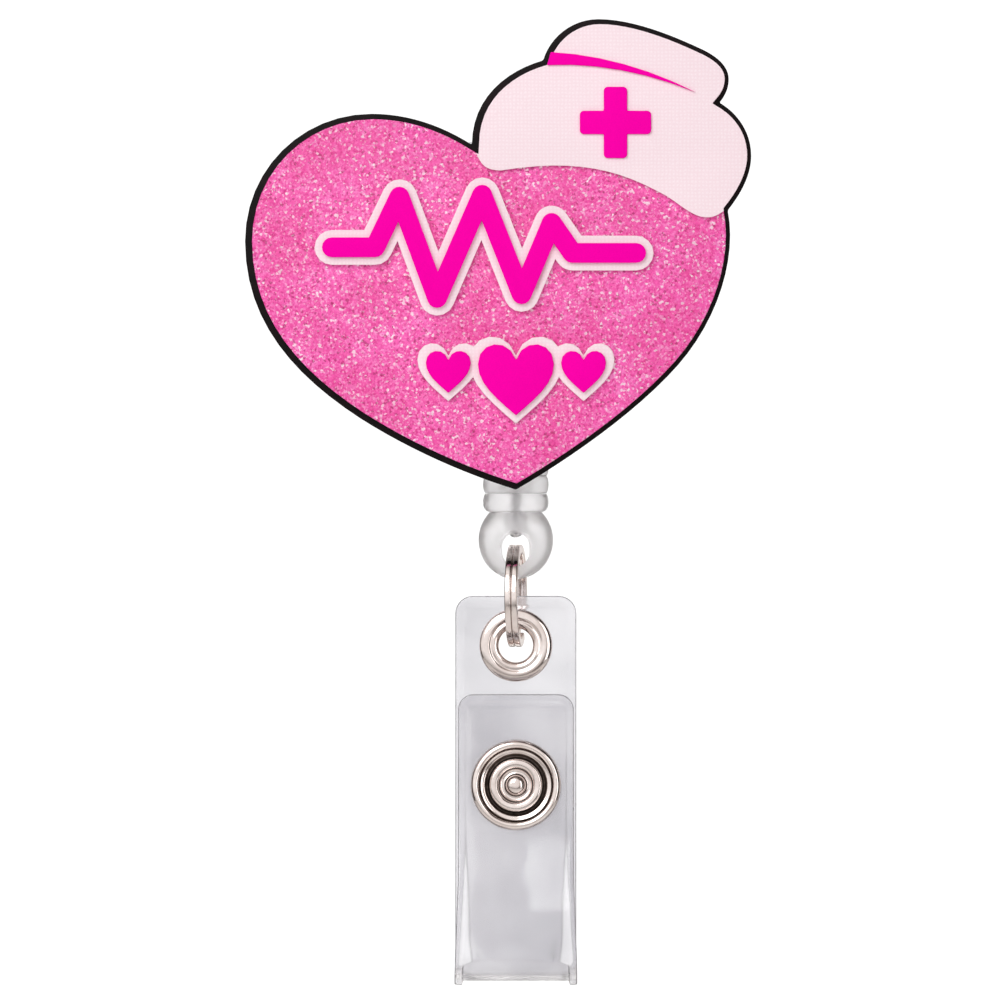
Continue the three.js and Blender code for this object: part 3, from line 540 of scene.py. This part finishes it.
def makeReel():
    low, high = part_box("front_cover")
    rearLow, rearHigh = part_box("rear_housing")
    centre = Vector((0, 0, (low.z + high.z) / 2))
    radius = (high.x - low.x) / 2 / mm
    coverFront, back = low.y / mm, rearHigh.y / mm
    split = coverFront + housing["lidDepth"]
    inset = radius - housing["lip"]
    lid = [(0, coverFront), (radius, coverFront), (radius, split),
           (inset, split + housing["seam"]), (0, split)]
    lidMesh = spun(softened(lid, housing["lidEdge"]), centre)
    standFor(finishMesh("front_cover_fine", lidMesh, mouldedAbs), "front_cover")

    # the back: a shallow turned groove round the swivel's seat, and a hole for the rivet
    inner, outer, deep = housing["groove"]
    rivetHole, seat = housing["rivetHole"], back - housing["rivetSeat"]
    seam, shoulder = split + housing["backSeam"], split + housing["backShoulder"]
    shell = [(0, seam), (inset, seam), (radius, shoulder), (radius, back - housing["backEdge"]),
             (radius - housing["backEdge"], back), (outer, back), (outer - deep / 2, back - deep),
             (inner + deep / 2, back - deep), (inner, back), (rivetHole, back), (rivetHole, seat), (0, seat)]
    bm = spun(softened(shell, housing["backRound"]), centre)

    # the neck, from the cord's hole up over two ribs and a throat to where it spreads into the disc
    neckEnd = rearLow.z / mm
    root = centre.z / mm - radius + housing["neckRoot"]
    rib = neckEnd + housing["lowRib"]
    waist, lobe, throat = housing["waist"], housing["lobe"], housing["throat"]
    cordHole, holeEnd = housing["cordHole"], neckEnd + housing["cordHoleDepth"]
    neck = [(0, holeEnd), (cordHole, holeEnd), (cordHole, neckEnd), (waist - 0.3, neckEnd)]
    neck += lobed(neckEnd + 0.05, rib, lobe, waist, waist)
    neck += lobed(rib, rib + housing["highRib"], lobe, waist, waist)[1:]
    neck += [(throat, rib + 2.3), (2.6, root - 3.4), (2.9, root - 2.2), (3.2, root), (0, root)]
    joined = bpy.data.meshes.new("neck")
    neckMesh = spun(neck, Vector((0, middle("cord_tail").y, 0)), zAxis, housing["neckSteps"])
    neckMesh.to_mesh(joined)
    neckMesh.free()
    bm.from_mesh(joined)
    bpy.data.meshes.remove(joined)
    standFor(finishMesh("rear_housing_fine", bm, polypropylene), "rear_housing")


makeTopper()
makeReel()
print("topper and reel made")


# ---- end bead: a ball under a round collar, pierced for the ring and bored for the knot

bead = {
    "collar": 2.0,
    "collarRadius": 3.52,
    "throat": 2.8,
    "ballHalf": 4.19,
    "ballRows": 24,
    "steps": 72,
    "holeWidth": 2.9,
    "web": 1.4,              # plastic left below the hole
    "crown": 2.2,            # and above it, up to the collar
    "bore": 0.55,
    "boreDepth": 2.5,
    "pocketRadius": 1.15,
    "pocket": (-2, 1.0, 1.7),   # bottom, shoulder and roof of the knot's pocket, from the knot's middle
    "restGap": 0.03,
}


def applyBoolean(piece, cutter):
    modifier = piece.modifiers.new("cut", "BOOLEAN")
    modifier.object = cutter
    modifier.solver = "EXACT"
    bpy.context.view_layer.update()
    evaluated = piece.evaluated_get(bpy.context.evaluated_depsgraph_get())
    solid = bpy.data.meshes.new_from_object(evaluated)
    piece.modifiers.clear()
    piece.data = solid
    bpy.data.objects.remove(cutter)


# along the bead's hole, from the front face to the back: [station from the middle, how much wider there]
mouth = [(-3.6, 0.6), (-2.8, 0.45), (-2.5, 0.2), (-2.1, 0.04), (-1.7, 0),
         (1.7, 0), (2.1, 0.04), (2.5, 0.2), (2.8, 0.45), (3.6, 0.6)]


def slotBar(width, bottom, top):
    # a slot-shaped bar along Y that widens towards its ends, so that the hole it cuts has rounded rims
    bm = bmesh.new()
    bmesh.ops.create_circle(bm, cap_ends=True, segments=48, radius=width / 2 * mm)
    turned(bm, 90, "X")
    for vert in bm.verts:
        vert.co.z += math.copysign((top - bottom - width) / 2, vert.co.z) * mm
    ends = [bm.faces[:]]
    rows = [bm.verts[:]]
    for _ in mouth[1:]:
        grown = bmesh.ops.extrude_face_region(bm, geom=ends[-1])["geom"]
        ends.append([g for g in grown if isinstance(g, bmesh.types.BMFace)])
        rows.append([g for g in grown if isinstance(g, bmesh.types.BMVert)])
    inner = [face for end in ends[1:-1] for face in end if face.is_valid]
    bmesh.ops.delete(bm, geom=inner, context="FACES_ONLY")
    for verts, (station, wider) in zip(rows, mouth):
        for vert in verts:
            vert.co += vert.co.normalized() * wider * mm
            vert.co += Vector((0, station, (bottom + top) / 2)) * mm
    return bm


def makeBead():
    low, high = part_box("end_bead")
    plane = (low.y + high.y) / 2
    half = (high.x - low.x) / 2 / mm
    depth = (high.y - low.y) / (high.x - low.x)
    bottom, top = low.z / mm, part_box("rear_housing")[0].z / mm - bead["restGap"]
    collarBottom = top - bead["collar"]
    ballMiddle = bottom + bead["ballHalf"]
    waist = math.asin((collarBottom - ballMiddle) / bead["ballHalf"])
    profile = []
    for i in range(bead["ballRows"] + 1):
        angle = -math.pi / 2 + (waist + math.pi / 2) * i / bead["ballRows"]
        profile.append((max(half * math.cos(angle), 0), ballMiddle + bead["ballHalf"] * math.sin(angle)))
    bore, boreEnd = bead["bore"], top - bead["boreDepth"]
    profile += lobed(collarBottom + 0.05, top, bead["collarRadius"], bead["throat"], housing["waist"])
    profile += [(bore, top), (bore, boreEnd), (0, boreEnd)]
    bm = spun(profile, (0, 0, 0), zAxis, bead["steps"])
    bmesh.ops.scale(bm, verts=bm.verts, vec=(1, depth, 1))
    bmesh.ops.translate(bm, verts=bm.verts, vec=(0, plane, 0))
    piece = finishMesh("end_bead_fine", bm, polypropylene)

    holeLow, holeHigh = bottom + bead["web"], collarBottom - bead["crown"]
    slot = slotBar(bead["holeWidth"], holeLow, holeHigh)
    bmesh.ops.translate(slot, verts=slot.verts, vec=(0, plane, 0))
    applyBoolean(piece, finishMesh("slotCutter", slot, polypropylene))
    floor, shoulder, roof = bead["pocket"]
    wide = bead["pocketRadius"]
    pocket = [(0, floor), (wide, floor), (wide, shoulder), (bore, roof), (0, roof)]
    cutter = spun(pocket, Vector((0, plane, middle("cord_knot").z)), zAxis, 32)
    applyBoolean(piece, finishMesh("knotCutter", cutter, polypropylene))
    piece.data.set_sharp_from_angle(angle=math.radians(40))
    standFor(piece, "end_bead")


# ---- split ring: one flat wire wound nearly twice, crossing over at the back

ring = {"wireWide": 0.68, "wireTall": 0.9, "round": 0.2, "gap": 0.02, "plainTurn": 310, "crossTurn": 50,
        "stepAngle": 4, "startAngle": -100, "yaw": -6}


def makeRing():
    low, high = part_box("split_ring")
    half, tall = ring["wireWide"] / 2, ring["wireTall"] / 2
    meanRadius = (high.z - low.z) / 2 / mm - tall
    inner, outer = meanRadius - tall, meanRadius + tall
    pitch = ring["wireWide"] + ring["gap"]
    corners = [(inner, -half), (outer, -half), (outer, half), (inner, half)]
    section = softened(corners, ring["round"], 4, closed=True)
    bm = bmesh.new()
    end = [bm.faces.new([bm.verts.new(((x - pitch / 2) * mm, 0, r * mm)) for r, x in section])]
    for angle, shift in ((ring["plainTurn"], 0), (ring["crossTurn"], pitch), (ring["plainTurn"], 0)):
        steps = angle // ring["stepAngle"]
        wound = bmesh.ops.spin(bm, geom=end, cent=(0, 0, 0), axis=xAxis, dvec=(shift * mm / steps, 0, 0),
                               angle=math.radians(angle), steps=steps, use_merge=False, use_duplicate=False)
        end = wound["geom_last"]
    bmesh.ops.remove_doubles(bm, verts=bm.verts, dist=0.001 * mm)
    turned(bm, ring["startAngle"], "X")
    turned(bm, ring["yaw"], "Z")
    bmesh.ops.translate(bm, verts=bm.verts, vec=middle("split_ring"))
    standFor(finishMesh("split_ring_fine", bm, nickel), "split_ring")


# ---- cord: the stretch from the neck to the knot

cord = {"rows": 24, "sides": 20, "intoNeck": 1.2, "intoBead": 0.6,
        "knotLobes": 3, "knotTwist": 2.2, "knotDepth": 0.12}


def makeCord():
    tailLow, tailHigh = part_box("cord_tail")
    knotLow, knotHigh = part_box("cord_knot")
    plane = (tailLow.y + tailHigh.y) / 2
    radius = (tailHigh.x - tailLow.x) / 2 / mm
    start, end = tailHigh.z + cord["intoNeck"] * mm, tailLow.z - cord["intoBead"] * mm
    length = (start - end) / mm
    side = [(radius, length * i / cord["rows"]) for i in range(cord["rows"] + 1)]
    bm = spun([(0, 0)] + side + [(0, length)], Vector((0, plane, end)), zAxis, cord["sides"])
    piece = finishMesh("cord_tail_fine", bm, nylon)
    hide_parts("cord_tail")
    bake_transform(piece)

    knotRadius = (knotHigh.x - knotLow.x) / 2
    bm = bmesh.new()
    bmesh.ops.create_icosphere(bm, subdivisions=4, radius=knotRadius)
    for vert in bm.verts:   # strands wrapped round the ball
        swirl = math.atan2(vert.co.y, vert.co.x) + cord["knotTwist"] * vert.co.z / knotRadius
        vert.co *= 1 - cord["knotDepth"] * (1 + math.cos(cord["knotLobes"] * swirl)) / 2
    bmesh.ops.translate(bm, verts=bm.verts, vec=middle("cord_knot"))
    standFor(finishMesh("cord_knot_fine", bm, nylon, 60), "cord_knot")


makeBead()
makeRing()
makeCord()
print("bead, ring and cord made")


# ---- strap: one die-cut sheet with a raised welt round its edge, folded up and snapped

strap = {
    "topCorner": 1.9,
    "flapCorner": 1.7,
    "thickness": 0.5,
    "welt": 0.78,
    "weltSlope": 0.15,
    "weltRise": 0.09,
    "edgeRound": 0.16,
    "foldFlare": 0.35,     # how far the welt's ends stick out below the fold
    "foldWiden": 0.15,
    "foldReach": 3,        # how far from the fold the sheet still feels it
    "foldSteps": 24,
    "taper": 8,            # length over which the flap narrows
    "footWidth": 0.9,
    "footSlope": 0.1,
    "rows": 0.45,          # spacing of the rows that let the sheet bend
    "longRows": 2.5,
    "land": 5.4,           # flat length of the flap below the snap's middle
    "kneeRadius": 3.0,
    "eyeletHole": 2.35,
    "snapHole": 1.15,
}


def strapLine():
    # the sheet's centre line down the back leg, round the fold and up the flap, as (y, z) in mm
    backLow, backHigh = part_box("strap_back_leg")
    flapLow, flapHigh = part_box("strap_flap")
    half = strap["thickness"] / 2
    back = backHigh.y / mm - half
    front = flapLow.y / mm + half
    radius = (back - front) / 2
    foldMiddle = backLow.z / mm + radius + half
    landBottom = middle("snap_cap").z / mm - strap["land"]
    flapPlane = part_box("snap_socket")[0].y / mm - half
    knee = (foldMiddle * 2 + landBottom) / 3
    points = [Vector((back, backHigh.z / mm)), Vector((back, foldMiddle))]
    for i in range(1, strap["foldSteps"] + 1):
        angle = math.pi * i / strap["foldSteps"]
        across = back - radius + radius * math.cos(angle)
        points.append(Vector((across, foldMiddle - radius * math.sin(angle))))
    flap = [points[-1], (front, knee), (flapPlane, landBottom), (flapPlane, flapHigh.z / mm)]
    rise = softened(flap, strap["kneeRadius"], 8)
    return points + [Vector(point) for point in rise[1:]]


def flatStrap(width, total):
    # the sheet laid flat: across in X, along its length in Y, its inner side up
    bm = bmesh.new()
    bmesh.ops.create_grid(bm, x_segments=1, y_segments=1, size=0.5)
    bmesh.ops.scale(bm, verts=bm.verts, vec=(width, total, 1))
    bmesh.ops.translate(bm, verts=bm.verts, vec=(0, total / 2, 0))
    for end, corner in ((0, strap["topCorner"]), (total, strap["flapCorner"])):
        corners = [v for v in bm.verts if abs(v.co.y - end) < 0.01]
        bmesh.ops.bevel(bm, geom=corners, offset=corner, offset_type="OFFSET", affect="VERTICES", segments=8,
                        profile=0.5, material=-1)
    tall = strap["thickness"] + 2 * strap["weltRise"]
    bmesh.ops.translate(bm, verts=bm.verts, vec=(0, 0, -tall / 2))
    grown = bmesh.ops.extrude_face_region(bm, geom=bm.faces[:])["geom"]
    raised = [g for g in grown if isinstance(g, bmesh.types.BMVert)]
    bmesh.ops.translate(bm, verts=raised, vec=(0, 0, tall))
    bmesh.ops.recalc_face_normals(bm, faces=bm.faces)
    rim = [e for e in bm.edges if e.calc_face_angle() > math.radians(60)]
    bmesh.ops.bevel(bm, geom=rim, offset=strap["edgeRound"], offset_type="OFFSET", affect="EDGES", segments=4,
                    profile=0.5, material=-1)
    sides = [f for f in bm.faces if abs(f.normal.z) > 0.999 and f.calc_area() > width]
    for face in bm.faces:
        face.material_index = 1 if abs(face.normal.z) < 0.9 else 0
    for side in sides:
        for wide, deep in ((strap["welt"] - strap["edgeRound"], 0), (strap["weltSlope"], -strap["weltRise"])):
            bmesh.ops.inset_region(bm, faces=[side], thickness=wide, depth=deep, use_even_offset=True)
    return bm


def makeStrap():
    line = strapLine()
    lengths = [0]
    for a, b in zip(line, line[1:]):
        lengths.append(lengths[-1] + (b - a).length)
    total = lengths[-1]
    backLow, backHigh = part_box("strap_back_leg")
    flapLow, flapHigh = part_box("strap_flap")
    width, flapWidth = (backHigh.x - backLow.x) / mm, (flapHigh.x - flapLow.x) / mm
    foldStart, foldEnd = lengths[1], lengths[strap["foldSteps"] + 1]
    foldMiddle = (foldStart + foldEnd) / 2

    bm = flatStrap(width, total)
    close, far = strap["rows"], strap["longRows"]
    kneeEnd = foldEnd + (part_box("snap_cap")[0].z / mm - backLow.z / mm)
    cuts = [far * i for i in range(1, int((foldStart - 1) / far))]
    cuts += [foldStart - 1 + close * i for i in range(int((kneeEnd - foldStart + 1) / close))]
    cuts += [kneeEnd + far * i for i in range(int((total - kneeEnd - 2) / far))]
    for cut in cuts:
        everything = bm.verts[:] + bm.edges[:] + bm.faces[:]
        bmesh.ops.bisect_plane(bm, geom=everything, dist=0.0001, plane_co=(0, cut, 0), plane_no=(0, 1, 0))

    # each vertex goes from the flat sheet to its place along the line
    segment = 1
    for vert in sorted(bm.verts, key=lambda v: v.co.y):
        along = min(max(vert.co.y, 0), total)
        while segment < len(line) - 1 and along > lengths[segment]:
            segment += 1
        before, after = line[segment - 1], line[segment]
        point = before.lerp(after, (along - lengths[segment - 1]) / (lengths[segment] - lengths[segment - 1]))
        way = (after - before).normalized()
        nearFold = math.exp(-((along - foldMiddle) / strap["foldReach"]) ** 2)
        narrowed = min(max((along - foldEnd) / strap["taper"], 0), 1)
        share = 1 + (flapWidth / width - 1) * narrowed + strap["foldWiden"] / width * nearFold
        lift = vert.co.z
        if lift < 0:
            pastFoot = abs(vert.co.x) - width / 2 + strap["footWidth"]
            lift -= strap["foldFlare"] * nearFold * min(max(pastFoot / strap["footSlope"], 0), 1)
        vert.co = Vector((vert.co.x * share, point.x + way.y * lift, point.y - way.x * lift)) * mm
    piece = finishMesh("strap_fine", bm, pvc, 50)
    piece.data.materials.append(pvcEdge)
    for node, radius in (("eyelet", strap["eyeletHole"]), ("snap_post", strap["snapHole"])):
        centre = Vector((0, backHigh.y, middle(node).z))
        cutter = spun([(0, -12), (radius, -12), (radius, 6), (0, 6)], centre, yAxis, 48)
        applyBoolean(piece, finishMesh(node + "Cutter", cutter, pvcEdge))
    piece.data.set_sharp_from_angle(angle=math.radians(50))
    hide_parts("strap_back_leg", "strap_flap")
    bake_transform(piece)


makeStrap()


# ---- eyelet and snap, all rolled from thin nickel-plated steel

rolled = {
    "facets": 112,
    "edge": 0.12,
    "eyeletHole": 1.85,
    "barrelWall": 0.35,
    "flangeSteps": 40,
    "flangeSwell": 0.8,
    "crease": 0.3,               # how deep the flange's ring-shaped crease is, as a share of its height
    "creaseAt": 0.4,
    "creaseWidth": 0.09,
    # rings of the snap's face, as shares of its radius, that are painted dark as shade
    "grooves": [(0.355, 0.39), (0.578, 0.665)],
}


def makeEyelet():
    low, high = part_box("eyelet")
    face, back = low.y / mm, high.y / mm
    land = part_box("strap_back_leg")[1].y / mm - strap["thickness"]
    radius = (high.x - low.x) / 2 / mm
    hole, wall = rolled["eyeletHole"], rolled["barrelWall"]
    flange = []
    for i in range(1, rolled["flangeSteps"]):
        angle = math.pi * i / rolled["flangeSteps"]
        across = (1 - math.cos(angle)) / 2
        fromCrease = (across - rolled["creaseAt"]) / rolled["creaseWidth"]
        crease = 1 - rolled["crease"] * math.exp(-fromCrease ** 2)
        tall = (land - face) * math.sin(angle) ** rolled["flangeSwell"] * crease
        flange.append((hole + (radius - hole) * across, land - tall))
    rim = [(radius, land - 0.1), (radius - 0.08, land)]
    tail = [(hole + wall, land), (hole + wall, back - 0.3), (hole + wall + 0.45, back - 0.3),
            (hole + wall + 0.2, back), (hole + 0.12, back), (hole, back - 0.15)]
    profile = [(hole, land + 0.1)] + flange + rim + softened(tail, rolled["edge"])
    bm = spun(profile, Vector((0, 0, middle("eyelet").z)), yAxis, rolled["facets"], closed=True)
    standFor(finishMesh("eyelet_fine", bm, nickel, 50), "eyelet")
    refined("eyelet_washer", nickel, rolled["edge"])


# the snap's pressed face, from its middle outwards: [share of the radius, share of the height]
snapFace = [
    (0, 0.8), (0.06, 0.79), (0.12, 0.75), (0.165, 0.65), (0.195, 0.5), (0.215, 0.34), (0.24, 0.22),
    (0.28, 0.16), (0.325, 0.17), (0.355, 0.28), (0.375, 0.52), (0.39, 0.78), (0.41, 0.92), (0.44, 0.97),
    (0.49, 0.98), (0.54, 0.97), (0.565, 0.9), (0.58, 0.7), (0.588, 0.4), (0.6, 0.12), (0.62, 0.02),
    (0.65, 0.02), (0.665, 0.14), (0.68, 0.24), (0.72, 0.28), (0.77, 0.31), (0.79, 0.38), (0.805, 0.52),
    (0.825, 0.66), (0.855, 0.76), (0.89, 0.8), (0.93, 0.77), (0.965, 0.66), (0.99, 0.5), (1.0, 0.32),
    (0.995, 0.12), (0.97, 0.0),
]


def makeSnap():
    low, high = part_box("snap_cap")
    radius = (high.x - low.x) / 2 / mm
    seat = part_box("snap_socket")[0].y / mm - strap["thickness"]
    lift = seat - low.y / mm
    stem = strap["snapHole"] - 0.15
    profile = [(share * radius, seat - max(tall, 0.02) * lift) for share, tall in snapFace]
    profile += [(stem, seat), (stem, seat + 1.0), (0, seat + 1.0)]
    bm = spun(profile, Vector((0, 0, middle("snap_cap").z)), yAxis, rolled["facets"])
    piece = finishMesh("snap_cap_fine", bm, nickel, 60)
    piece.data.materials.append(nickelGrooveShade)
    centreZ = (low.z + high.z) / 2
    for face in piece.data.polygons:
        share = math.hypot(face.center.x, face.center.z - centreZ) / (radius * mm)
        inGroove = any(inner < share < outer for inner, outer in rolled["grooves"])
        # faces down in the grooves take the nickel painted dark as their shade
        face.material_index = 1 if inGroove and face.center.y < seat * mm else 0
    standFor(piece, "snap_cap")
    for node in ("snap_socket", "snap_stud", "snap_post"):
        refined(node, nickel, rolled["edge"])


# ---- clip, stamped and bent from sheet, and its pin, rivet and spring

clip = {"sheetEdge": 0.16, "headEdge": 0.15, "washerEdge": 0.1, "wireEdge": 0.01}


def makeClip():
    for node in ("clip_base_jaw", "clip_lever_jaw"):
        refined(node, nickel, clip["sheetEdge"])
    for node in ("clip_pin", "swivel_rivet"):
        refined(node, nickel, clip["headEdge"])
    refined("swivel_washer", polypropylene, clip["washerEdge"])
    refined("clip_spring", steel, clip["wireEdge"], 1, 80)


makeEyelet()
makeSnap()
makeClip()
print("eyelet, snap and clip made")

# the pieces inside the housing keep their CAD shapes and only take their materials
hidden = {"spool": polypropylene, "cord_winding": nylon, "cord_lead": nylon, "power_spring": steel}
for node, material in hidden.items():
    frame["nodes"][node].data.materials.clear()
    frame["nodes"][node].data.materials.append(material)
